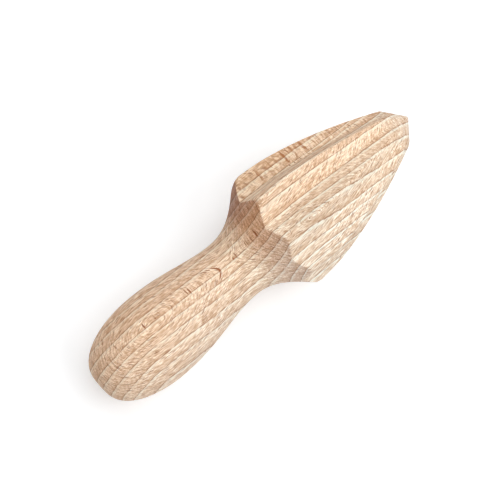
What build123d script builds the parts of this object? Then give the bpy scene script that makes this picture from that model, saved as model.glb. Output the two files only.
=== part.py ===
from build123d import *
from math import cos, degrees, pi, radians, sin, tan
import os

# Hand citrus reamer, turned and fluted from a single piece of beech.
# Millimetres, +Z up. The reamer lies at rest: the belly of the handle and two crests of the
# head touch the table, a flute faces straight up and the tip points along +X.
# Stations are distances along the turning axis from the handle end.

# Whole tool
length = 150.0

# Handle
belly_radius = 17.1
belly_station = 26.5
end_flat_radius = 3.0
neck_radius = 12.45
neck_station = 64.5

# Head
rim_radius = 25.2
rim_station = 86.1
rim_rounding = 2.0
shoulder_radius = 8.6

# Blunt nose in front of the shoulder
nose_half_angle = 51.0
nose_rounding = 1.2

# Flutes
flute_count = 8
flute_rim_depth = 5.8
flute_shoulder_depth = 0.8
flute_depth_swell = 1.2
flute_end_share = 1.03
crest_flat = 0.6
overrun = 1.0

# Handles of the outline's curves: each pair is a radius and a station, as shares of the run that
# the curve covers
dome_shares = [(0.66, 0), (1, 0.5)]
waist_shares = [(0, 0.46), (1, 0.69)]
flare_shares = [(0, 0.4), (0.45, 0.675)]
head_shares = [(0.085, 1 / 3), (0.475, 2 / 3)]

half_pitch = pi / flute_count
nose_angle = radians(nose_half_angle)


def between(start, end, shares):
    """Points at the given shares of the way from one outline point to another."""
    return [
        (start[0] + (end[0] - start[0]) * across, start[1] + (end[1] - start[1]) * along)
        for across, along in shares
    ]


def swelling(share, start, end, swell):
    """Size at a share of the way, on a straight taper that swells out midway."""
    return start + (end - start) * share + 4 * swell * share * (1 - share)


# The nose rounding meets its cone here, which sets the station of the shoulder
nose_turn = pi / 2 - nose_angle
nose_edge = (nose_rounding * sin(nose_turn), length - nose_rounding * (1 - cos(nose_turn)))
shoulder_station = nose_edge[1] - (shoulder_radius - nose_edge[0]) / tan(nose_angle)

end_flat = (end_flat_radius, 0)
belly = (belly_radius, belly_station)
neck = (neck_radius, neck_station)
rim = (rim_radius, rim_station)
shoulder = (shoulder_radius, shoulder_station)
head_handles = between(rim, shoulder, head_shares)

# Turned blank: the outline is drawn in radius and station, then spun about the turning axis
with BuildPart() as turned:
    with BuildSketch(Plane.XZ):
        with BuildLine():
            Line((0, 0), end_flat)
            dome = Bezier(end_flat, *between(end_flat, belly, dome_shares), belly)
            waist = Bezier(belly, *between(belly, neck, waist_shares), neck)
            Bezier(neck, *between(neck, rim, flare_shares), rim)
            Bezier(rim, *head_handles, shoulder)
            Line(shoulder, nose_edge)
            JernArc((0, length), (1, 0), nose_rounding, -degrees(nose_turn))
            Line((0, length), (0, 0))
        make_face()
    revolve(axis=Axis.Z)
    rim_edge = turned.edges().filter_by(GeomType.CIRCLE).sort_by(lambda edge: edge.radius)[-1]
    fillet(rim_edge, rim_rounding)

# Waste wood between the crests: a ring round the head less a fluted core, lofted through star
# sections. The core's inner corners are the flute floors, and its crests stand a little proud of
# the blank, so that the turned surface is left as a narrow flat along each crest. The floors run
# out over the flare behind the rim, and over the nose in front of the shoulder.
run_out_station = (neck_station + rim_station) / 2
head_length = shoulder_station - rim_station
run_out_share = (run_out_station - rim_station) / head_length
section_shares = [run_out_share, 0.0, 0.2, 0.4, 0.6, 0.8, flute_end_share]


def head_radius(share):
    """Radius of the turned head at a share of its length, also just beyond its two ends."""
    rest = 1 - share
    near, far = head_handles[0][0], head_handles[1][0]
    return (
        rim_radius * rest**3
        + 3 * near * share * rest**2
        + 3 * far * share**2 * rest
        + shoulder_radius * share**3
    )


def star_corners(share):
    """Corners of the fluted core at a share of the head, floors and crests in turn."""
    depth = swelling(share, flute_rim_depth, flute_shoulder_depth, flute_depth_swell)
    floor = head_radius(share) - depth
    wall_rise = (head_radius(share) - floor * cos(half_pitch)) / (floor * sin(half_pitch))
    crest = head_radius(share) + crest_flat / 2 * wall_rise
    return [
        (radius * cos(step * half_pitch), radius * sin(step * half_pitch))
        for step, radius in enumerate([floor, crest] * flute_count)
    ]


with BuildPart() as waste:
    with BuildSketch(Plane.XY.offset(run_out_station)):
        Circle(rim_radius + overrun)
    extrude(amount=(flute_end_share - run_out_share) * head_length)
    for section_share in section_shares:
        with BuildSketch(Plane.XY.offset(rim_station + section_share * head_length)):
            with BuildLine():
                Polyline(*star_corners(section_share), close=True)
            make_face()
    loft(mode=Mode.SUBTRACT)

with BuildPart() as fluted:
    add(turned.part)
    add(waste.part, mode=Mode.SUBTRACT)

# Resting attitude: the tilt at which the belly and the crests beside the lowest flute touch the
# table together. Outline points are pairs of depth below the turning axis and station along it.
samples = 40
sample_shares = [step / samples for step in range(samples + 1)]
handle_points = [edge @ share for edge in (dome, waist) for share in sample_shares]
handle_outline = [(point.X, point.Y) for point in handle_points]
crest_points = [edge @ share for edge in fluted.edges() for share in sample_shares]
head_outline = [(point.X, point.Z) for point in crest_points if point.Z > run_out_station]


def lowest(outline_points, tilt):
    """Height of the lowest outline point, measured from the handle end of the turning axis."""
    return min(station * sin(tilt) - depth * cos(tilt) for depth, station in outline_points)


rest_tilt = 0.0
for halving in range(1, 24):
    tilt_step = pi / 4 / 2**halving
    if lowest(head_outline, rest_tilt + tilt_step) < lowest(handle_outline, rest_tilt + tilt_step):
        rest_tilt = rest_tilt + tilt_step

# The origin is on the table, midway between the back of the dome and the front of the nose
back = min(station * cos(rest_tilt) - depth * sin(rest_tilt) for depth, station in handle_outline)
front = (length - nose_rounding) * cos(rest_tilt) + nose_rounding
table = Plane(
    origin=(-(back + front) / 2, 0, -lowest(handle_outline, rest_tilt)),
    x_dir=(-sin(rest_tilt), 0, cos(rest_tilt)),
    z_dir=(cos(rest_tilt), 0, sin(rest_tilt)),
)

with BuildPart(table) as reamer:
    add(fluted.part)

reamer.part.label = "reamer"
os.makedirs("parts", exist_ok=True)
export_step(reamer.part, "parts/reamer.step")

print(f"axis rises {degrees(rest_tilt):.3f} degrees from the handle end at {table.origin}")
print(f"shoulder of the nose at station {shoulder_station:.2f}, volume {reamer.part.volume:.0f}")
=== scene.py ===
"""Looks of a hand citrus reamer: fine mesh, solid beech finish, table, soft light and camera."""

import logging
import math
from dataclasses import dataclass
from enum import Enum

import bmesh
import bpy
import numpy as np
from mathutils import Matrix, Vector


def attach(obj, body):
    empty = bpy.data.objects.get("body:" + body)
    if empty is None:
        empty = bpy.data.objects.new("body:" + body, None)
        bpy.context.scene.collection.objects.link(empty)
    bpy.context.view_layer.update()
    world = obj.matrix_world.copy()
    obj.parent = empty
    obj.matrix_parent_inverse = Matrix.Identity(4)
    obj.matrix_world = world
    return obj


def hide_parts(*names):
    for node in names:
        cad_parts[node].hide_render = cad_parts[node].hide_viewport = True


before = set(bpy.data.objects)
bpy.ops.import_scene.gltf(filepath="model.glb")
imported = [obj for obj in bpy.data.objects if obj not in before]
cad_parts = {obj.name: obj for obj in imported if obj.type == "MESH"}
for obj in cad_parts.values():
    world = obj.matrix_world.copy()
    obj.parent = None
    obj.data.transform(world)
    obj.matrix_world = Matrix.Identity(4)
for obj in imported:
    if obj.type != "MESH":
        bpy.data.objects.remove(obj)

log = logging.getLogger("reamer")
MM = 0.001
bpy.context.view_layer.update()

Pair = tuple[float, float]
Triple = tuple[float, float, float]
Socket = bpy.types.NodeSocket

# How far a seed moves noise, and the cells of flecks, along the three axes of the timber
NOISE_STEPS = (1.0, 0.7, 1.3)
CELL_STEPS = (1.0, 0.4, 1.7)

# Range of slants that takes in every surface
ANY_SLANT = (0.0, 1.0)


class SeenBy(Enum):
    """Kinds of ray that are shown the plain white background."""

    CAMERA = "Is Camera Ray"
    GLOSSY = "Is Glossy Ray"
    TRANSMISSION = "Is Transmission Ray"


@dataclass(frozen=True)
class Rest:
    """How the reamer lies: the turning axis rises from the handle end towards the tip."""

    tilt: float = math.radians(5.672)
    handle_end: Triple = (-74.464 * MM, 0.0, 14.662 * MM)

    @property
    def along(self) -> Vector:
        """Unit vector up the turning axis, from handle end to tip."""
        return Vector((math.cos(self.tilt), 0.0, math.sin(self.tilt)))

    @property
    def upward(self) -> Vector:
        """Unit vector square to the axis, through the flute that faces up."""
        return Vector((-math.sin(self.tilt), 0.0, math.cos(self.tilt)))

    @property
    def sideways(self) -> Vector:
        """Unit vector square to the other two, level with the table."""
        return Vector((0.0, -1.0, 0.0))

    def placement(self) -> Matrix:
        """Returns:
            The matrix from the turning frame (x up through a flute, z along the axis) to the world.
        """
        third = self.along.cross(self.upward)
        turn = Matrix((self.upward, third, self.along)).transposed()
        return Matrix.Translation(self.handle_end) @ turn.to_4x4()

    def across(self, angle: float) -> Vector:
        """Unit vector square to the axis, turned from the upward flute to the camera's right."""
        return self.upward * math.cos(angle) + self.sideways * math.sin(angle)


@dataclass
class Turning:
    """Outline of the turned blank, as radii at stations along the axis, in millimetres."""

    length: float = 150.0
    end_flat: Pair = (3.0, 0.0)
    belly: Pair = (17.1, 26.5)
    neck: Pair = (12.45, 64.5)
    rim: Pair = (25.2, 86.1)
    shoulder_radius: float = 8.6
    nose_half_angle: float = math.radians(51.0)
    nose_rounding: float = 1.2
    dome_shares: tuple = ((0.66, 0.0), (1.0, 0.5))
    waist_shares: tuple = ((0.0, 0.46), (1.0, 0.69))
    flare_shares: tuple = ((0.0, 0.4), (0.45, 0.675))
    head_shares: tuple = ((0.085, 1 / 3), (0.475, 2 / 3))

    def __post_init__(self) -> None:
        """Works out the nose and the table of radii."""
        turn = math.pi / 2 - self.nose_half_angle
        self.nose_edge = (
            self.nose_rounding * math.sin(turn),
            self.length - self.nose_rounding * (1 - math.cos(turn)),
        )
        rise = (self.shoulder_radius - self.nose_edge[0]) / math.tan(self.nose_half_angle)
        self.shoulder = (self.shoulder_radius, self.nose_edge[1] - rise)
        curves = [
            self.curve(self.end_flat, self.belly, self.dome_shares),
            self.curve(self.belly, self.neck, self.waist_shares),
            self.curve(self.neck, self.rim, self.flare_shares),
            self.curve(self.rim, self.shoulder, self.head_shares),
            np.array([self.shoulder, self.nose_edge]),
            self.nose_arc(turn),
        ]
        points = np.vstack(curves)
        self.radii, self.stations = points[:, 0], points[:, 1]

    def curve(self, start: tuple, end: tuple, shares: tuple, count: int = 400) -> np.ndarray:
        """Cubic curve between two outline points.

        Args:
            start: radius and station where the curve starts.
            end: radius and station where it ends.
            shares: its two handles, as shares of the way in radius and in station.
            count: how many points to sample.

        Returns:
            Radii and stations along the curve.
        """
        knots = np.array([(0.0, 0.0), *shares, (1.0, 1.0)])
        share = np.linspace(0.0, 1.0, count)[:, None]
        rest = 1 - share
        mix = (
            rest**3 * knots[0] + 3 * share * rest**2 * knots[1]
            + 3 * share**2 * rest * knots[2] + share**3 * knots[3]
        )
        return np.array(start) + (np.array(end) - np.array(start)) * mix

    def nose_arc(self, turn: float, count: int = 30) -> np.ndarray:
        """Rounding at the very tip.

        Args:
            turn: angle from the axis where the rounding meets its cone.
            count: how many points to sample.

        Returns:
            Radii and stations along the arc.
        """
        angles = np.linspace(turn, 0.0, count)
        stations = self.length - self.nose_rounding + self.nose_rounding * np.cos(angles)
        return np.stack([self.nose_rounding * np.sin(angles), stations], 1)

    def radius(self, station: np.ndarray) -> np.ndarray:
        """Turned radius at distances from the handle end."""
        return np.interp(station, self.stations, self.radii)

    def head_share(self, station: np.ndarray) -> np.ndarray:
        """Share of the way from the rim to the shoulder at a station."""
        return (station - self.rim[1]) / (self.shoulder[1] - self.rim[1])

    def head_radius(self, share: np.ndarray) -> np.ndarray:
        """Radius of the head's own curve, also a little beyond its two ends.

        Args:
            share: share of the way from the rim to the shoulder.

        Returns:
            The radius there.
        """
        rim, shoulder = self.rim[0], self.shoulder[0]
        near = rim + (shoulder - rim) * self.head_shares[0][0]
        far = rim + (shoulder - rim) * self.head_shares[1][0]
        rest = 1 - share
        return (
            rim * rest**3 + 3 * near * share * rest**2
            + 3 * far * share**2 * rest + shoulder * share**3
        )


@dataclass
class Flutes:
    """The eight flutes of the head: flat walls, narrow floors, and crests eased by sanding.

    Lengths are in millimetres. The floors and the back ends of the crests are each eased by their
    own amount, counted round from the upward floor, and the crests' wear fades along the worn run.
    """

    blank: Turning
    count: int = 8
    rim_depth: float = 5.2
    shoulder_depth: float = 0.8
    depth_swell: float = 1.2
    floor_ease: tuple[float, ...] = (0.4, 1.8, 0.8, 0.5, 0.5, 0.5, 0.5, 0.35)
    crest_ease: float = 0.45
    rim_wear: tuple[float, ...] = (3.0, 2.7, 1.0, 1.3, 1.6, 1.2, 0.7, 1.6)
    worn_run: Pair = (87.0, 99.0)
    halvings: int = 40

    @property
    def half_pitch(self) -> float:
        """Angle from a floor to the next crest."""
        return math.pi / self.count

    def wall_radius(self, station: np.ndarray, angle: np.ndarray) -> np.ndarray:
        """Radius of the fluted core.

        Args:
            station: distances from the handle end.
            angle: turns from the upward floor, towards the camera's right-hand side.

        Returns:
            The radii of the flute walls, with floors and crests eased.
        """
        half = self.half_pitch
        place = np.mod(angle / half, 2 * self.count)
        crest_number = np.floor(place / 2).astype(int) % self.count
        floor_number = np.round(place / 2).astype(int) % self.count
        off = np.abs(place - 2 * np.round(place / 2)) * half
        share = self.blank.head_share(station)
        head = self.blank.head_radius(share)
        taper = self.rim_depth + (self.shoulder_depth - self.rim_depth) * share
        floor = head - taper - 4 * self.depth_swell * share * (1 - share)
        slope = (head * math.cos(half) - floor) / (head * math.sin(half))
        shoulder_slope = np.tan(half + np.arctan(slope))
        crest = head + shoulder_slope * self.crest_ease
        across, out = crest * math.sin(half), crest * math.cos(half)
        sharp = across * floor / (across * np.cos(off) - (out - floor) * np.sin(off))
        low, high = self.worn_run
        fade = np.clip((station - low) / (high - low), 0, 1)
        fade = 1 - fade * fade * (3 - 2 * fade)
        wear = np.array(self.rim_wear)[crest_number]
        ease = self.crest_ease + (wear - self.crest_ease) * fade
        from_crest = crest * np.sin(half - off)
        from_floor = floor * np.sin(off)
        rounded = sharp - shoulder_slope * (np.hypot(from_crest, ease) - from_crest)
        filled = np.array(self.floor_ease)[floor_number]
        return rounded + slope * (np.hypot(from_floor, filled) - from_floor)

    def edge_station(self, angle: np.ndarray, near: float, far: float) -> np.ndarray:
        """Where the flute walls come out of the turned surface.

        Args:
            angle: turns from the upward floor.
            near: a station where the walls stand proud of the blank.
            far: a station where the walls lie inside the blank.

        Returns:
            The stations of the edge between the two surfaces.
        """
        near, far = np.full_like(angle, near), np.full_like(angle, far)
        for _ in range(self.halvings):
            middle = (near + far) / 2
            proud = self.wall_radius(middle, angle) >= self.blank.radius(middle)
            near, far = np.where(proud, middle, near), np.where(proud, far, middle)
        return (near + far) / 2


@dataclass
class Reamer:
    """The one piece of turned beech, as a fine mesh with softened edges.

    Lengths are in millimetres. The bands are a start, an end and a count of rings between them. The
    flutes are cut from just past the neck to just past the shoulder, and the widths say how near
    the rim, the ends of the crests and the shoulder a point has to be for its edge to be softened.
    """

    rest: Rest
    blank: Turning
    flutes: Flutes
    columns: int = 336
    crowding: float = 0.55
    flat_shares: Triple = (0.0, 0.5, 0.85)
    dome_reach: float = 11.0
    dome_rows: int = 14
    least_gap: float = 0.3
    nose_step: int = 5
    past_neck: float = 2.0
    past_shoulder: float = 3.2
    edge_search: float = 3.0
    edge_width: float = 0.6
    corner_run: float = 1.6
    corner_width: float = 2.4
    nose_width: float = 1.0
    edge_rounds: int = 2
    corner_rounds: int = 40
    bands: tuple = (
        (0.0, 3.5, 12), (3.5, 26.5, 34), (26.5, 64.5, 44), (64.5, 82.0, 40), (82.0, 86.1, 18),
        (86.1, 89.0, 12), (89.0, 141.0, 74), (141.0, 143.38, 8), (143.38, 147.0, 12),
        (147.0, 150.0, 14),
    )

    def row_stations(self) -> list[float]:
        """Returns:
            The stations of the mesh's rings, crowded where the form turns fastest.
        """
        rows = [0.0]
        for low, high, count in self.bands:
            rows += [low + (high - low) * (step + 1) / count for step in range(count)]
        return rows

    def outline(self) -> list[Pair]:
        """Returns:
            Radius and station of each point of the half outline, from pole to pole.
        """
        blank = self.blank
        flat = blank.end_flat[0]
        points = [(flat * share, 0.0) for share in self.flat_shares]
        dome = slice(0, np.searchsorted(blank.stations, blank.belly[1]))
        dome_radii = np.linspace(flat, self.dome_reach, self.dome_rows)
        dome_stations = np.interp(dome_radii, blank.radii[dome], blank.stations[dome])
        points += zip(dome_radii.tolist(), dome_stations.tolist())
        start = points[-1][1] + self.least_gap
        rows = [station for station in self.row_stations() if start < station < blank.nose_edge[1]]
        points += [(float(blank.radius(station)), station) for station in rows]
        arc = blank.nose_arc(math.pi / 2 - blank.nose_half_angle)[:: self.nose_step]
        points += [(radius, station) for radius, station in arc.tolist()]
        points[-1] = (0.0, blank.length)
        return points

    def turn(self) -> bmesh.types.BMesh:
        """Spins the half outline about the axis.

        Returns:
            The turned blank, in millimetres, with its axis along z.
        """
        mesh = bmesh.new()
        verts = [mesh.verts.new((radius, 0.0, station)) for radius, station in self.outline()]
        edges = [mesh.edges.new(pair) for pair in zip(verts, verts[1:])]
        bmesh.ops.spin(
            mesh, geom=verts + edges, cent=(0, 0, 0), axis=(0, 0, 1), angle=2 * math.pi,
            steps=self.columns, use_merge=True,
        )
        bmesh.ops.remove_doubles(mesh, verts=mesh.verts[:], dist=1e-4)
        bmesh.ops.recalc_face_normals(mesh, faces=mesh.faces[:])
        return mesh

    def carve(self, mesh: bmesh.types.BMesh) -> None:
        """Moves the points of the head onto the flute walls, with a ring of points on every edge.

        Args:
            mesh: the turned blank, changed in place.
        """
        places = np.array([vert.co[:] for vert in mesh.verts])
        self.first_station = places[:, 2].copy()
        radius = np.hypot(places[:, 0], places[:, 1])
        half = self.flutes.half_pitch
        steps = np.arctan2(places[:, 1], places[:, 0]) / half
        share = steps - np.floor(steps)
        share -= self.crowding * np.sin(2 * math.pi * share) / (2 * math.pi)
        angle = (np.floor(steps) + share) * half
        rim, shoulder = self.blank.rim[1], self.blank.shoulder[1]
        start, stop = self.blank.neck[1] + self.past_neck, shoulder + self.past_shoulder
        columns, column = np.unique(np.round(angle, 6), return_inverse=True)
        back = self.flutes.edge_station(columns, start, rim + self.edge_search)
        front = self.flutes.edge_station(columns, stop, shoulder - self.edge_search)
        back, front = np.minimum(back, rim)[column], np.maximum(front, shoulder)[column]
        station = places[:, 2].copy()
        reach = (station > start) & (station < stop)
        behind = reach & (station <= rim)
        ahead = reach & (station >= shoulder)
        between = reach & ~behind & ~ahead
        for part, low, high, new_low, new_high in (
            (behind, start, rim, np.full_like(back, start), back),
            (between, rim, shoulder, back, front),
            (ahead, shoulder, stop, front, np.full_like(front, stop)),
        ):
            share = (station[part] - low) / (high - low)
            station[part] = new_low[part] + share * (new_high - new_low)[part]
        turned = self.blank.radius(station)
        carved = self.flutes.wall_radius(station, angle)
        fluted = reach & (station >= back - 1e-6) & (station <= front + 1e-6)
        out = np.where(reach, np.where(fluted, np.minimum(turned, carved), turned), radius)
        for vert, distance, turn, where in zip(mesh.verts, out, angle, station):
            vert.co = (distance * math.cos(turn), distance * math.sin(turn), where)

    def soften(self, mesh: bmesh.types.BMesh) -> None:
        """Eases the rim's edge as sanding does, most at the ends of the crests.

        Args:
            mesh: the carved head, changed in place.
        """
        half = self.flutes.half_pitch
        edge, corners, nose = [], [], []
        for vert, station in zip(mesh.verts, self.first_station):
            place = math.atan2(vert.co.y, vert.co.x) / half
            distance = math.hypot(vert.co.x, vert.co.y)
            from_crest = abs(place - (2 * math.floor(place / 2) + 1)) * half * distance
            from_rim = abs(station - self.blank.rim[1])
            if from_rim < self.edge_width:
                edge.append(vert)
            if from_rim < self.corner_run and from_crest < self.corner_width:
                corners.append(vert)
            if abs(station - self.blank.shoulder[1]) < self.nose_width:
                nose.append(vert)
        axes = {"use_axis_" + axis: True for axis in "xyz"}
        for verts, rounds in (
            (corners, self.corner_rounds), (edge, self.edge_rounds), (nose, self.edge_rounds),
        ):
            for _ in range(rounds):
                bmesh.ops.smooth_vert(mesh, verts=verts, factor=0.5, **axes)

    def build(self) -> bpy.types.Object:
        """Makes the piece.

        Returns:
            The finished object, at the origin, with its place in its mesh.
        """
        mesh = self.turn()
        self.carve(mesh)
        self.soften(mesh)
        bmesh.ops.scale(mesh, vec=(MM, MM, MM), verts=mesh.verts[:])
        bmesh.ops.transform(mesh, matrix=self.rest.placement(), verts=mesh.verts[:])
        bmesh.ops.recalc_face_normals(mesh, faces=mesh.faces[:])
        data = bpy.data.meshes.new("turned_reamer")
        mesh.to_mesh(data)
        mesh.free()
        data.shade_smooth()
        piece = bpy.data.objects.new("turned_reamer", data)
        bpy.context.scene.collection.objects.link(piece)
        return piece

    def dress(self, piece: bpy.types.Object, finish: "Beech") -> None:
        """Gives the piece its finish and its place in the frame.

        Args:
            piece: the finished object.
            finish: the timber.
        """
        piece.data.materials.append(finish.material(self.rest))
        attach(piece, "root")
        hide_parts("reamer")


@dataclass
class NodeBench:
    """Lays out the nodes of one material, or of the room, and joins them."""

    tree: bpy.types.NodeTree

    def put(self, kind: str, values: object = (), **settings: object) -> bpy.types.Node:
        """Adds a node.

        Args:
            kind: the node's type name, without its common start.
            values: what its inputs are given, as for feeding it.
            settings: the node's own options.

        Returns:
            The node.
        """
        node = self.tree.nodes.new("ShaderNode" + kind)
        for name, value in settings.items():
            setattr(node, name, value)
        self.feed(node, values)
        return node

    def feed(self, node: bpy.types.Node, values: object) -> None:
        """Gives inputs of a node their values, and joins those that are outputs of others.

        Args:
            node: the node.
            values: the values in the order of its inputs, or a table of them by name or number.
        """
        table = values if isinstance(values, dict) else dict(enumerate(values))
        for key, value in table.items():
            if isinstance(value, Socket):
                self.tree.links.new(value, node.inputs[key])
            else:
                node.inputs[key].default_value = value

    def sum(self, operation: str, *values: object) -> Socket:
        """One step of arithmetic with numbers or outputs."""
        return self.put("Math", values, operation=operation).outputs[0]

    def vector(self, operation: str, *values: object) -> Socket:
        """One step of vector arithmetic, of which some kinds give a number."""
        node = self.put("VectorMath", values, operation=operation)
        return node.outputs["Value" if operation in ("LENGTH", "DOT_PRODUCT") else "Vector"]

    def split(self, value: object) -> tuple:
        """Takes a vector apart into three outputs."""
        return tuple(self.put("SeparateXYZ", (value,)).outputs)

    def join(self, *values: object) -> Socket:
        """Puts a vector together from its three parts."""
        return self.put("CombineXYZ", values).outputs[0]

    def noise(self, place: object, sizes: Triple, detail: float, seed: float) -> Socket:
        """Noise whose blobs have the given sizes along the three axes of the timber.

        Args:
            place: timber coordinates in millimetres.
            sizes: blob sizes in millimetres.
            detail: how many finer layers are added.
            seed: moves the pattern, so that no two layers match.

        Returns:
            The noise, about a half.
        """
        scaled = self.vector("MULTIPLY", place, tuple(1 / size for size in sizes))
        moved = self.vector("ADD", scaled, tuple(seed * step for step in NOISE_STEPS))
        table = {"Vector": moved, "Scale": 1.0, "Detail": detail}
        return self.put("TexNoise", table).outputs[0]

    def span(
        self, value: object, low: float, high: float, start: float = 0.0, stop: float = 1.0,
        smooth: bool = True,
    ) -> Socket:
        """Maps a range of values onto another.

        Args:
            value: what is mapped.
            low: value that gives the start.
            high: value that gives the stop.
            start: result at the low value.
            stop: result at the high value.
            smooth: whether the ends are eased.

        Returns:
            The mapped value.
        """
        easing = "SMOOTHSTEP" if smooth else "LINEAR"
        values = (value, low, high, start, stop)
        return self.put("MapRange", values, interpolation_type=easing, clamp=True).outputs[0]

    def blend(self, share: object, first: object, second: object, how: str = "MIX") -> Socket:
        """Mixes two colours.

        Args:
            share: how much of the second shows.
            first: the colour below.
            second: the colour above.
            how: the blend type.

        Returns:
            The mixed colour.
        """
        table = {0: share, 6: first, 7: second}
        return self.put("Mix", table, data_type="RGBA", blend_type=how).outputs[2]

    def window(self, value: object, low: float, high: float, soft: float = 0.06) -> Socket:
        """Picks out a range of values.

        Args:
            value: the socket or number to test.
            low: where the range starts.
            high: where it ends.
            soft: half the width of its soft ends.

        Returns:
            One inside the range and zero outside.
        """
        risen = self.span(value, low - soft, low + soft)
        return self.sum("MULTIPLY", risen, self.span(value, high + soft, high - soft))

    def curve(self, value: object, points: tuple[Pair, ...]) -> Socket:
        """Runs a value along a line through points.

        Args:
            value: the socket or number to look up.
            points: pairs of a value and the result there, in rising order of value.

        Returns:
            The result.
        """
        low, high = points[0][0], points[-1][0]
        least, most = min(result for _, result in points), max(result for _, result in points)
        node = self.put("FloatCurve", {"Value": self.span(value, low, high, smooth=False)})
        curve = node.mapping.curves[0].points
        for number, (place, result) in enumerate(points):
            where = ((place - low) / (high - low), (result - least) / (most - least))
            if number in (0, len(points) - 1):
                curve[0 if number == 0 else -1].location = where
            else:
                curve.new(*where)
        for point in curve:
            point.handle_type = "VECTOR"
        node.mapping.update()
        return self.sum("MULTIPLY_ADD", node.outputs[0], most - least, least)

    def ramp(self, value: object, stops: tuple) -> Socket:
        """Runs a value along a row of colours.

        Args:
            value: the socket or number that picks the colour.
            stops: pairs of a value and the colour there, in rising order.

        Returns:
            The colour.
        """
        low, high = stops[0][0], stops[-1][0]
        node = self.put("ValToRGB", (self.span(value, low, high, smooth=False),))
        while len(node.color_ramp.elements) < len(stops):
            node.color_ramp.elements.new(0.5)
        for element, (place, colour) in zip(node.color_ramp.elements, stops):
            element.position = (place - low) / (high - low)
            element.color = (*colour, 1)
        return node.outputs[0]


@dataclass(frozen=True)
class Wave:
    """Smooth noise about zero, which bends what it is added to."""

    sizes: Triple
    reach: float
    seed: float

    def level(self, bench: NodeBench, place: Socket) -> Socket:
        """Lays out the noise and gives its value in millimetres."""
        noise = bench.noise(place, self.sizes, 0.0, self.seed)
        return bench.sum("MULTIPLY_ADD", noise, self.reach, -self.reach / 2)


@dataclass(frozen=True)
class Mottle:
    """Noise, of which the range between two edges is mapped onto two values."""

    sizes: Triple
    seed: float
    edges: Pair
    values: Pair
    detail: float = 1.0

    def level(self, bench: NodeBench, place: Socket) -> Socket:
        """Lays out the noise and gives its value."""
        noise = bench.noise(place, self.sizes, self.detail, self.seed)
        return bench.span(noise, *self.edges, *self.values)


@dataclass(frozen=True)
class Timber:
    """Outputs that the layers of the finish work from, with lengths in millimetres.

    The place runs along the grain from the handle end, out from the heart, and across the sheets
    of ray tissue. The sheets are flat in the fan's coordinates, and have their slight waves in the
    waved ones. The slant is the sine of the angle between the sheets and the surface.
    """

    bench: NodeBench
    place: Socket
    fan: Socket
    waved: Socket
    slant: Socket


@dataclass(frozen=True)
class RayFlecks:
    """Thin upright sheets of ray tissue, which show as flecks where the surface cuts them.

    Sizes are in millimetres. One fleck lies in each cell, and the share that is kept shows. Its
    size varies over a range, and it has a dark core and a wider pale edge, a painted highlight
    where light would catch the fleck's rim, each with the shares of its size between which it
    fades.
    """

    cell: Triple
    half_length: float
    half_height: float
    kept: float
    depth: float
    seed: float
    slants: Pair = ANY_SLANT
    half_width: float = 0.19
    size_range: Pair = (0.6, 1.15)
    fully_kept: float = 0.35
    core: Pair = (1.0, 0.35)
    edge: Pair = (2.6, 1.2)

    def masks(self, timber: Timber) -> tuple:
        """Builds the flecks' masks.

        Args:
            timber: what the layers work from.

        Returns:
            A mask that is one inside a fleck, and a wider one that takes in its pale edge of
            painted highlight.
        """
        bench, slant = timber.bench, timber.slant
        scaled = bench.vector("MULTIPLY", timber.waved, tuple(1 / size for size in self.cell))
        moved = bench.vector("ADD", scaled, tuple(self.seed * step for step in CELL_STEPS))
        cells = bench.put("TexVoronoi", {"Vector": moved, "Scale": 1.0})
        offset = bench.vector("SUBTRACT", moved, cells.outputs["Position"])
        length, height, width = self.cell
        thinned = bench.sum("DIVIDE", width / self.half_width, slant)
        stretch = bench.join(length / self.half_length, height / self.half_height, thinned)
        reach = bench.vector("LENGTH", bench.vector("MULTIPLY", offset, stretch))
        chance = bench.put("SeparateColor", (cells.outputs["Color"],))
        size = bench.span(chance.outputs[1], 0.0, 1.0, *self.size_range, smooth=False)
        share = bench.sum("DIVIDE", reach, size)
        sure = self.fully_kept * self.kept
        present = bench.span(chance.outputs[0], self.kept, sure, 0.0, self.depth)
        shown = bench.sum("MULTIPLY", present, bench.window(slant, *self.slants))
        fades = (self.core, self.edge)
        return tuple(bench.sum("MULTIPLY", bench.span(share, *fade), shown) for fade in fades)


@dataclass(frozen=True)
class Grain:
    """Streaks of lighter and darker wood, on surfaces in a range of slants."""

    sizes: Triple
    edges: Pair
    reach: float
    seed: float
    slants: Pair = ANY_SLANT

    def shade(self, timber: Timber, place: Socket) -> Socket:
        """Builds the streaks' shade.

        Args:
            timber: what the layers work from.
            place: which of the timber's coordinates the streaks follow.

        Returns:
            A factor about one.
        """
        bench = timber.bench
        noise = bench.noise(place, self.sizes, 0.0, self.seed)
        change = bench.span(noise, *self.edges, -self.reach / 2, self.reach / 2)
        if self.slants == ANY_SLANT:
            return bench.sum("ADD", change, 1.0)
        return bench.sum("MULTIPLY_ADD", change, bench.window(timber.slant, *self.slants), 1.0)


@dataclass(frozen=True)
class PlacedFleck:
    """One large fleck at a set place in the timber, in millimetres."""

    centre: Triple
    half_sizes: Triple
    depth: float
    core: float = 0.45

    def mask(self, timber: Timber) -> Socket:
        """Builds the fleck's mask.

        Args:
            timber: what the layers work from.

        Returns:
            The fleck's depth inside it and zero outside.
        """
        bench = timber.bench
        offset = bench.vector("SUBTRACT", timber.fan, self.centre)
        scaled = bench.vector("MULTIPLY", offset, tuple(1 / half for half in self.half_sizes))
        return bench.span(bench.vector("LENGTH", scaled), 1.0, self.core, 0.0, self.depth)


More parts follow.
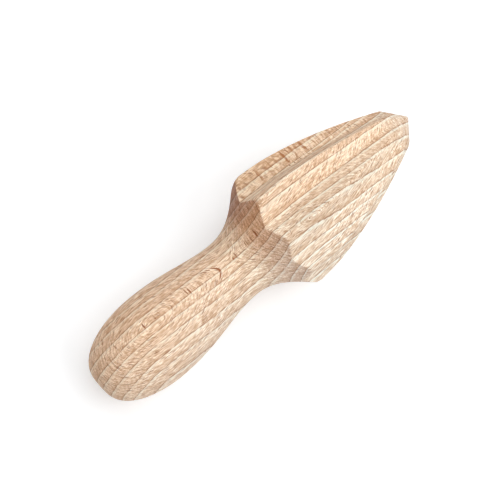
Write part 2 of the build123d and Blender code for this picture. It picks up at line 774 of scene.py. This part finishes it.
@dataclass(frozen=True)
class Beech:
    """Plain steamed beech, sanded and left without oil or wax.

    The rings are the distances out from the heart, in millimetres, at which ring lines cross the
    middle of the billet, and the sway is how far they wander along it.
    """

    ring_turn: float = math.radians(86.69)
    handle_rings: tuple[float, ...] = (
        -27.5, -25.4, -17.7, -14.6, -11.71, -8.88, -4.40, 0.22, 3.67, 7.24,
        10.95, 13.8, 17.1, 19.45, 21.6, 24.4, 27.5,
    )
    head_rings: tuple[float, ...] = (
        -27.5, -25.4, -17.69, -13.87, -12.2, -8.85, -5.07, 0.14, 3.93, 7.54,
        11.15, 13.8, 16.88, 19.4, 21.55, 24.4, 27.5,
    )
    sway: tuple[Pair, ...] = (
        (0.0, 0.42), (12.0, 0.17), (20.0, 0.04), (31.0, 0.23), (44.0, 0.09), (52.0, -0.09),
        (60.0, -0.24), (68.0, -0.25), (77.0, 0.08), (92.0, -0.08), (104.0, 0.07), (122.0, 0.16),
        (134.0, 0.0), (150.0, -0.08),
    )
    ring_lean: Pair = (-1.76 / 75, 1.76)
    ring_bow: Pair = (1.86 / 400, 2.56 / 20)
    ring_waves: tuple[Wave, ...] = (
        Wave((45.0, 14.0, 14.0), 1.1, 3.1),
        Wave((9.0, 2.5, 2.5), 0.40, 7.7),
        Wave((2.4, 0.7, 0.7), 0.26, 12.3),
    )
    handle_to_head: Pair = (62.0, 90.0)
    line_shift: float = 0.05
    sheet_fan: Pair = (-8.0, 0.364)
    ripple: Wave = Wave((6.0, 1.6, 1.6), 0.8, 83.0)
    sheet_waves: tuple[Wave, ...] = (
        Wave((20.0, 12.0, 12.0), 0.7, 81.0),
        Wave((3.0, 2.5, 2.5), 0.2, 85.0),
    )
    least_slant: float = 0.02
    pale: Triple = (1.0, 0.92, 0.78)
    early: Triple = (0.90, 0.69, 0.51)
    middle: Triple = (0.875, 0.65, 0.47)
    late: Triple = (0.80, 0.565, 0.39)
    line: Triple = (0.42, 0.21, 0.105)
    fleck: Triple = (0.36, 0.135, 0.05)
    small_fleck: Triple = (0.38, 0.165, 0.075)
    streak: Triple = (0.46, 0.18, 0.06)
    # Painted shade colour: warmer and redder away from the main lamp, paler and cooler on the lit
    # side
    shade_tint_across: tuple[tuple[float, Triple], ...] = (
        (-21.0, (1.0, 0.91, 0.80)),
        (-9.0, (0.98, 0.92, 0.86)),
        (0.0, (0.98, 0.945, 0.895)),
        (8.0, (0.965, 0.975, 0.965)),
        (18.0, (0.97, 1.035, 1.085)),
    )
    tone_along: tuple[tuple[float, Triple], ...] = (
        (0.0, (0.97, 0.90, 0.86)),
        (25.0, (0.985, 0.95, 0.93)),
        (50.0, (0.94, 0.92, 0.92)),
        (68.0, (1.0, 1.0, 1.0)),
        (90.0, (0.98, 0.98, 0.98)),
        (138.0, (0.98, 0.98, 0.98)),
        (147.0, (0.86, 0.91, 0.98)),
        (150.0, (0.84, 0.90, 0.98)),
    )
    # Painted shade on the flare under the rim, darkest on the side away from the main lamp
    flare_painted_shade: tuple[tuple[float, Triple], ...] = (
        (-16.0, (0.59, 0.445, 0.43)),
        (-5.0, (0.83, 0.64, 0.52)),
        (4.0, (0.87, 0.725, 0.655)),
        (12.0, (0.91, 0.85, 0.84)),
    )
    ring_shares: tuple[float, ...] = (0.0, 0.22, 0.5, 0.85, 1.0)
    ring_tone: Pair = (0.07, 0.965)
    patch: Mottle = Mottle((26.0, 5.0, 5.0), 21.0, (0.3, 0.7), (0.965, 1.035))
    dark_edges: Pair = (0.885, 0.965)
    beads: Mottle = Mottle((3.2, 1.2, 1.2), 51.0, (0.30, 0.60), (0.20, 0.92))
    light_edges: Pair = (0.26, 0.10)
    glints: Mottle = Mottle((7.0, 1.6, 1.6), 57.0, (0.3, 0.6), (0.3, 1.0))
    handle_glint: tuple[float, ...] = (70.0, 92.0, 0.7, 1.0)
    # Strength of the painted highlight round each fine fleck
    fleck_highlight: float = 0.07
    under_light: float = 0.5
    # The flare's painted shade falls on faces towards the handle, between these stations
    shade_facing: Pair = (-0.15, -0.6)
    shade_along: Pair = (66.0, 78.0)
    roughness: Mottle = Mottle((8.0, 0.6, 0.6), 61.0, (0.3, 0.7), (0.58, 0.74), 2.0)
    gloss: float = 0.3
    relief_grain: tuple = ((2.2, 0.3, 0.3), 2.0, 71.0)
    line_sink: float = 0.8
    fleck_sink: float = 0.5
    relief_strength: float = 0.5
    relief_depth: float = 0.14 * MM
    tints: Triple = (0.62, 1.0, 1.35)
    fibres: tuple[Grain, ...] = (
        Grain((30.0, 1.3, 1.3), (0.25, 0.75), 0.08, 31.0),
        Grain((9.0, 0.5, 0.5), (0.25, 0.75), 0.14, 37.0),
        Grain((3.4, 0.34, 0.34), (0.40, 0.60), 0.37, 41.0),
        Grain((0.45, 2.4, 0.40), (0.40, 0.60), 0.08, 43.0),
    )
    sheets: tuple[Grain, ...] = (
        Grain((3.2, 3.0, 0.31), (0.40, 0.60), 0.42, 45.0, (0.58, 1.1)),
        Grain((3.0, 2.8, 0.16), (0.40, 0.60), 0.42, 46.0, (0.36, 0.58)),
        Grain((2.8, 2.6, 0.08), (0.40, 0.60), 0.42, 47.0, (-0.1, 0.36)),
    )
    random_flecks: tuple[RayFlecks, ...] = (
        RayFlecks((6.0, 10.0, 0.9), 2.2, 3.4, 0.5, 1.0, 5.0),
        RayFlecks((2.6, 3.4, 0.60), 1.4, 2.0, 1.1, 0.95, 9.0, (0.58, 1.1)),
        RayFlecks((2.4, 2.8, 0.31), 1.35, 1.7, 1.1, 0.95, 15.0, (0.36, 0.58)),
        RayFlecks((2.2, 2.2, 0.17), 1.25, 1.3, 1.1, 0.95, 19.0, (-0.1, 0.36)),
    )
    placed_flecks: tuple[PlacedFleck, ...] = (
        PlacedFleck((12.4, -3.4, -14.6), (0.35, 2.4, 1.5), 0.6),
        PlacedFleck((24.75, -1.8, -16.9), (0.42, 1.7, 1.5), 1.0),
        PlacedFleck((29.8, -1.8, -16.85), (0.28, 1.7, 1.5), 0.5),
        PlacedFleck((32.0, -1.9, -16.75), (0.25, 1.5, 1.5), 0.5),
        PlacedFleck((38.5, -1.8, -16.15), (0.28, 1.5, 1.5), 0.5),
        PlacedFleck((44.4, -1.45, -15.2), (0.34, 1.8, 1.5), 0.85),
        PlacedFleck((45.6, -0.9, -15.08), (0.42, 2.0, 1.5), 1.0),
        PlacedFleck((54.3, -2.9, -13.08), (1.4, 2.2, 0.11), 0.8),
        PlacedFleck((55.9, -2.8, -12.90), (1.4, 1.7, 0.09), 0.8),
        PlacedFleck((55.4, 2.7, -12.95), (1.4, 1.8, 0.09), 0.7),
        PlacedFleck((58.0, 0.0, -12.74), (3.2, 4.4, 0.085), 1.0),
        PlacedFleck((65.75, 0.07, -12.5), (0.40, 0.8, 1.0), 0.95),
        PlacedFleck((67.2, -0.4, -12.6), (0.32, 1.4, 1.0), 0.8),
        PlacedFleck((75.2, 0.0, -15.7), (0.28, 1.7, 1.5), 0.6),
        PlacedFleck((77.4, -0.4, -17.2), (0.36, 2.4, 1.5), 1.0),
        PlacedFleck((93.1, -17.0, -15.8), (0.30, 3.8, 2.0), 0.6),
        PlacedFleck((104.8, -16.2, -14.1), (0.30, 4.0, 2.0), 0.7),
        PlacedFleck((112.9, -15.2, -12.6), (0.34, 3.3, 2.0), 0.6),
        PlacedFleck((136.5, -8.0, -6.7), (0.32, 1.8, 2.0), 0.5),
    )
    streaks: tuple[PlacedFleck, ...] = (
        PlacedFleck((93.4, -17.0, -15.8), (0.7, 4.2, 2.5), 0.5),
        PlacedFleck((97.2, -16.6, -15.3), (0.5, 4.0, 2.5), 0.35),
        PlacedFleck((98.9, -18.0, -15.1), (0.45, 3.6, 2.5), 0.5),
        PlacedFleck((101.6, -17.5, -14.7), (0.40, 3.2, 2.5), 0.35),
        PlacedFleck((104.8, -16.2, -14.1), (0.75, 4.6, 2.5), 0.75),
        PlacedFleck((107.2, -18.0, -13.8), (0.38, 2.4, 2.5), 0.5),
        PlacedFleck((108.75, -16.3, -13.45), (0.55, 4.0, 2.5), 0.6),
        PlacedFleck((110.6, -17.0, -13.1), (0.45, 2.6, 2.5), 0.5),
        PlacedFleck((112.7, -15.4, -12.6), (0.85, 4.0, 2.5), 0.7),
        PlacedFleck((116.8, -15.0, -11.8), (0.40, 2.6, 2.5), 0.4),
        PlacedFleck((121.0, -13.6, -10.6), (0.40, 2.2, 2.5), 0.4),
    )

    def sheets_across(self, rest: Rest) -> Vector:
        """Unit vector square to the axis and to the sheets of ray tissue."""
        return rest.across(math.pi / 2 + self.ring_turn)

    def timber_place(self, bench: NodeBench, rest: Rest) -> Socket:
        """Lays out the coordinates of the timber.

        Args:
            bench: the material's nodes.
            rest: how the reamer lies.

        Returns:
            The coordinates in millimetres, from the handle end.
        """
        axes = Matrix((rest.along, rest.across(self.ring_turn), self.sheets_across(rest)))
        start = Vector(rest.handle_end) / MM
        table = {
            "Vector": bench.put("TexCoord").outputs["Object"], "Scale": (1 / MM, 1 / MM, 1 / MM),
            "Rotation": axes.to_euler(), "Location": -(axes @ start),
        }
        return bench.put("Mapping", table).outputs["Vector"]

    def ring_place(self, bench: NodeBench, place: Socket) -> tuple:
        """Counts the growth rings.

        Args:
            bench: the material's nodes.
            place: timber coordinates.

        Returns:
            The ring's number and how far across it the point lies.
        """
        along, out, across = bench.split(place)
        lean = bench.sum("MULTIPLY_ADD", along, *self.ring_lean)
        bow = bench.sum("MULTIPLY", across, bench.sum("MULTIPLY_ADD", across, *self.ring_bow))
        depth = bench.sum("ADD", bench.sum("ADD", out, lean), bow)
        for wave in self.ring_waves:
            depth = bench.sum("ADD", depth, wave.level(bench, place))
        depth = bench.sum("SUBTRACT", depth, bench.curve(along, self.sway))
        on_handle, on_head = (
            bench.curve(depth, tuple((edge, float(number)) for number, edge in enumerate(edges)))
            for edges in (self.handle_rings, self.head_rings)
        )
        change = bench.sum("SUBTRACT", on_head, on_handle)
        turnover = bench.span(along, *self.handle_to_head)
        count = bench.sum("MULTIPLY_ADD", change, turnover, on_handle)
        shifted = bench.sum("ADD", count, self.line_shift)
        return bench.sum("FLOOR", shifted), bench.sum("FRACT", shifted)

    def fanned(self, bench: NodeBench, place: Socket) -> Socket:
        """Timber coordinates in which the sheets of ray tissue are flat.

        Args:
            bench: the material's nodes.
            place: timber coordinates.

        Returns:
            The coordinates, with the sheets' fan towards the heart taken out.
        """
        along, out, across = bench.split(place)
        start, fan = self.sheet_fan
        beyond = bench.sum("MINIMUM", bench.sum("SUBTRACT", out, start), 0.0)
        rippled = bench.sum("ADD", along, self.ripple.level(bench, place))
        return bench.join(rippled, out, bench.sum("MULTIPLY_ADD", beyond, fan, across))

    def waved(self, bench: NodeBench, fan: Socket) -> Socket:
        """Adds the slight waves of the sheets.

        Args:
            bench: the material's nodes.
            fan: timber coordinates in which the sheets are flat.

        Returns:
            The coordinates, moved across the sheets.
        """
        step = 0.0
        for wave in self.sheet_waves:
            step = bench.sum("ADD", step, wave.level(bench, fan))
        return bench.vector("ADD", fan, bench.join(0.0, 0.0, step))

    def slant(self, bench: NodeBench, normal: Socket, rest: Rest) -> Socket:
        """Finds how steeply the surface cuts the sheets.

        Args:
            bench: the material's nodes.
            normal: the surface's direction.
            rest: how the reamer lies.

        Returns:
            The sine of the angle between the sheets and the surface, never quite zero.
        """
        along_sheet = bench.vector("DOT_PRODUCT", normal, tuple(self.sheets_across(rest)))
        square = bench.sum("SUBTRACT", 1.0, bench.sum("MULTIPLY", along_sheet, along_sheet))
        return bench.sum("SQRT", bench.sum("MAXIMUM", square, self.least_slant))

    def plain_colour(self, timber: Timber, rings: tuple) -> Socket:
        """Colours the wood between the ring lines and the flecks.

        Args:
            timber: what the layers work from.
            rings: the ring's number and how far across it the point lies.

        Returns:
            The colour.
        """
        bench = timber.bench

        # From the pale early wood to the browner late wood, across each ring
        ring, share = rings
        woods = (self.early, self.early, self.middle, self.late, self.late)
        colour = bench.ramp(share, tuple(zip(self.ring_shares, woods)))

        # Each ring a little lighter or darker than the next, and slow patches along the plank
        tone = bench.put("TexWhiteNoise", {"W": ring}, noise_dimensions="1D")
        shade = bench.sum("MULTIPLY_ADD", tone.outputs[0], *self.ring_tone)
        shade = bench.sum("MULTIPLY", shade, self.patch.level(bench, timber.place))

        # Fibres along the grain, and the sheets of ray tissue
        for where, grains in ((timber.place, self.fibres), (timber.waved, self.sheets)):
            for grain in grains:
                shade = bench.sum("MULTIPLY", shade, grain.shade(timber, where))
        return bench.blend(1.0, colour, self.tinted(bench, shade), "MULTIPLY")

    def tinted(self, bench: NodeBench, value: Socket) -> Socket:
        """Turns a shade about one into a colour, which is warmer where it is darker."""
        parts = tuple(bench.sum("POWER", value, tint) for tint in self.tints)
        return bench.put("CombineColor", parts).outputs[0]

    def ring_lines(self, timber: Timber, share: Socket) -> tuple:
        """Draws the lines between the rings.

        Args:
            timber: what the layers work from.
            share: how far across its ring the point lies.

        Returns:
            Masks of the dark line that ends each ring and of the pale line that starts the next.
        """
        bench, place = timber.bench, timber.place
        beads, glints = self.beads.level(bench, place), self.glints.level(bench, place)
        dark = bench.sum("MULTIPLY", bench.span(share, *self.dark_edges), beads)
        weaker = bench.span(bench.split(place)[0], *self.handle_glint)
        glint = bench.sum("MULTIPLY", glints, weaker)
        return dark, bench.sum("MULTIPLY", bench.span(share, *self.light_edges), glint)

    def with_flecks(self, timber: Timber, colour: Socket, light: Socket) -> tuple:
        """Lays the ray flecks over the wood: fine ones everywhere, the large ones, and the streaks.

        Args:
            timber: what the layers work from.
            colour: the wood below.
            light: mask of the pale ring lines, under which the large flecks fade.

        Returns:
            The colour with the flecks, and a list of their masks.
        """
        bench = timber.bench
        masks = []
        for flecks in self.random_flecks:
            mask, edge = flecks.masks(timber)
            # Painted highlight: a pale rim round each fine fleck, where light would catch its edge
            colour = bench.blend(bench.sum("MULTIPLY", edge, self.fleck_highlight), colour, (*self.pale, 1))
            colour = bench.blend(mask, colour, (*self.small_fleck, 1))
            masks.append(mask)
        faded = bench.sum("MULTIPLY_ADD", light, -self.under_light, 1.0)
        for flecks, tone in ((self.placed_flecks, self.fleck), (self.streaks, self.streak)):
            joined = 0.0
            for fleck in flecks:
                joined = bench.sum("MAXIMUM", joined, fleck.mask(timber))
            colour = bench.blend(bench.sum("MULTIPLY", joined, faded), colour, (*tone, 1))
            masks.append(joined)
        return colour, masks

    def relief(self, timber: Timber, dark: Socket, masks: list) -> Socket:
        """Builds the fine relief: open fibres, sunk flecks and a slight step at each ring.

        Args:
            timber: what the layers work from.
            dark: mask of the dark ring lines.
            masks: masks of the flecks.

        Returns:
            The bent normal.
        """
        bench = timber.bench
        height = bench.noise(timber.place, *self.relief_grain)
        height = bench.sum("MULTIPLY_ADD", dark, -self.line_sink, height)
        for mask in masks:
            height = bench.sum("MULTIPLY_ADD", mask, -self.fleck_sink, height)
        table = {"Strength": self.relief_strength, "Distance": self.relief_depth, "Height": height}
        return bench.put("Bump", table).outputs[0]

    def material(self, rest: Rest) -> bpy.types.Material:
        """Builds the timber's shader.

        Args:
            rest: how the reamer lies, which sets the run of the grain.

        Returns:
            The material.
        """
        material = bpy.data.materials.new("beech")
        material.use_nodes = True
        bench = NodeBench(material.node_tree)
        normal = bench.put("NewGeometry").outputs["Normal"]
        place = self.timber_place(bench, rest)
        along, out, _ = bench.split(place)
        fan = self.fanned(bench, place)
        slant = self.slant(bench, normal, rest)
        timber = Timber(bench, place, fan, self.waved(bench, fan), slant)
        rings = self.ring_place(bench, place)

        colour = self.plain_colour(timber, rings)
        dark, light = self.ring_lines(timber, rings[1])
        colour = bench.blend(dark, colour, (*self.line, 1))
        colour = bench.blend(light, colour, (*self.pale, 1))
        colour, masks = self.with_flecks(timber, colour, light)

        # Painted shade colour across the piece: warmer and redder on the side away from the main
        # lamp, and paler and cooler on the lit side. Along it, warmer and darker at the handle end,
        # a little darker at the waist and greyer at the nose
        for where, tones in ((out, self.shade_tint_across), (along, self.tone_along)):
            colour = bench.blend(1.0, colour, bench.ramp(where, tones), "MULTIPLY")

        # Painted shade: the flare's faces that look towards the handle, under the rim's overhang,
        # are darkened, most on the side away from the main lamp
        facing = bench.vector("DOT_PRODUCT", normal, tuple(rest.along))
        behind = bench.span(along, *self.shade_along)
        cut = bench.sum("MULTIPLY", bench.span(facing, *self.shade_facing), behind)
        colour = bench.blend(cut, colour, bench.ramp(out, self.flare_painted_shade), "MULTIPLY")

        bench.feed(material.node_tree.nodes["Principled BSDF"], {
            "Base Color": colour, "Roughness": self.roughness.level(bench, place),
            "Specular IOR Level": self.gloss, "Normal": self.relief(timber, dark, masks),
        })
        return material


@dataclass(frozen=True)
class Table:
    """A plain white table that shows white to the camera and keeps the soft shadow."""

    half_width: float = 1.5
    tone: Triple = (0.785, 0.80, 0.815)
    roughness: float = 0.9
    lift: float = 0.36

    def build(self) -> bpy.types.Object:
        """Makes the floor.

        Returns:
            The floor object.
        """
        mesh = bmesh.new()
        bmesh.ops.create_grid(mesh, x_segments=1, y_segments=1, size=self.half_width)
        data = bpy.data.meshes.new("table")
        mesh.to_mesh(data)
        mesh.free()
        floor = bpy.data.objects.new("table", data)
        bpy.context.scene.collection.objects.link(floor)
        floor.data.materials.append(self.material())
        return floor

    def material(self) -> bpy.types.Material:
        """Returns:
            Matt white, with an even lift for the rays that should meet a white background.
        """
        material = bpy.data.materials.new("white_table")
        material.use_nodes = True
        bench = NodeBench(material.node_tree)
        nodes = material.node_tree.nodes
        shader = nodes["Principled BSDF"]
        bench.feed(shader, {
            "Base Color": (*self.tone, 1), "Roughness": self.roughness, "Specular IOR Level": 0.0,
        })
        path = bench.put("LightPath")
        seen = 0.0
        for kind in SeenBy:
            seen = bench.sum("MAXIMUM", seen, path.outputs[kind.value])
        glow = bench.put("Emission", {"Strength": bench.sum("MULTIPLY", seen, self.lift)})
        total = bench.put("AddShader", (shader.outputs[0], glow.outputs[0]))
        bench.feed(nodes["Material Output"], {"Surface": total.outputs[0]})
        return material


@dataclass(frozen=True)
class Lamp:
    """A broad soft lamp far away."""

    name: str
    towards: Triple
    level: float
    spread: float

    def build(self) -> None:
        """Hangs the lamp."""
        data = bpy.data.lights.new(self.name, "SUN")
        data.energy = math.pi * self.level
        data.angle = self.spread
        lamp = bpy.data.objects.new(self.name, data)
        place = Vector(self.towards).normalized()
        turn = place.to_track_quat("Z", "Y").to_matrix().to_4x4()
        lamp.matrix_world = Matrix.Translation(place) @ turn
        bpy.context.scene.collection.objects.link(lamp)


@dataclass(frozen=True)
class Studio:
    """Soft daylight from the right of the picture, in an even white room."""

    room: float = 0.03
    lamps: tuple[Lamp, ...] = (
        Lamp("near_window", (0.374, -0.709, 0.598), 0.46, math.radians(55)),
        Lamp("skylight", (0.49, -0.105, 0.865), 0.31, math.radians(70)),
        Lamp("overhead", (-0.30, -0.21, 0.93), 0.215, math.radians(40)),
        Lamp("far_window", (0.545, 0.493, 0.676), 0.37, math.radians(90)),
        Lamp("handle_side", (-0.976, -0.108, 0.19), 0.16, math.radians(40)),
    )

    def build(self) -> None:
        """Lights the scene."""
        world = bpy.data.worlds.new("room")
        bpy.context.scene.world = world
        world.use_nodes = True
        bench = NodeBench(world.node_tree)
        seen = bench.put("LightPath").outputs[SeenBy.CAMERA.value]
        strength = bench.span(seen, 0.0, 1.0, self.room, 1.0, smooth=False)
        background = world.node_tree.nodes["Background"]
        bench.feed(background, {"Color": (1, 1, 1, 1), "Strength": strength})
        for lamp in self.lamps:
            lamp.build()


@dataclass(frozen=True)
class Viewpoint:
    """Camera of the photograph: a long lens from above, on the handle side of square on."""

    rest: Rest
    lean: float = math.radians(6.56)
    swing: float = math.radians(10.69)
    image_turn: float = math.radians(41.153)
    distance: float = 1500 * MM
    middle_station: float = 75 * MM
    move_right: float = -1.746 * MM
    move_up: float = 0.233 * MM
    pixels_per_metre: float = 2737.3
    frame_pixels: float = 500.0
    sensor: float = 36.0

    def build(self) -> bpy.types.Object:
        """Places the camera.

        Returns:
            The camera object.
        """
        along = self.rest.along
        out = self.rest.across(self.swing)
        back = out * math.cos(self.lean) - along * math.sin(self.lean)
        image_along = along * math.cos(self.lean) + out * math.sin(self.lean)
        image_across = self.rest.across(self.swing + math.pi / 2)
        right = image_along * math.cos(self.image_turn) + image_across * math.sin(self.image_turn)
        up = image_along * math.sin(self.image_turn) - image_across * math.cos(self.image_turn)
        middle = Vector(self.rest.handle_end) + along * self.middle_station
        place = middle + back * self.distance + right * self.move_right + up * self.move_up
        data = bpy.data.cameras.new("camera")
        data.sensor_width = self.sensor
        data.lens = self.pixels_per_metre * self.distance / self.frame_pixels * self.sensor
        data.clip_end = 20.0
        camera = bpy.data.objects.new("camera", data)
        turn = Matrix((right, up, back)).transposed().to_4x4()
        camera.matrix_world = Matrix.Translation(place) @ turn
        bpy.context.scene.collection.objects.link(camera)
        bpy.context.scene.camera = camera
        return camera


def main() -> None:
    """Builds the reamer, the table, the light and the camera, and reports each."""
    logging.basicConfig(level=logging.INFO, format="%(message)s")
    bpy.context.scene.view_settings.view_transform = "Standard"
    rest = Rest()
    blank = Turning()
    reamer = Reamer(rest, blank, Flutes(blank))
    piece = reamer.build()
    reamer.dress(piece, Beech())
    log.info("reamer: %d points, %d faces", len(piece.data.vertices), len(piece.data.polygons))
    Table().build()
    Studio().build()
    Viewpoint(rest).build()
    log.info("table, studio and camera are in place")


if __name__ == "__main__":
    main()
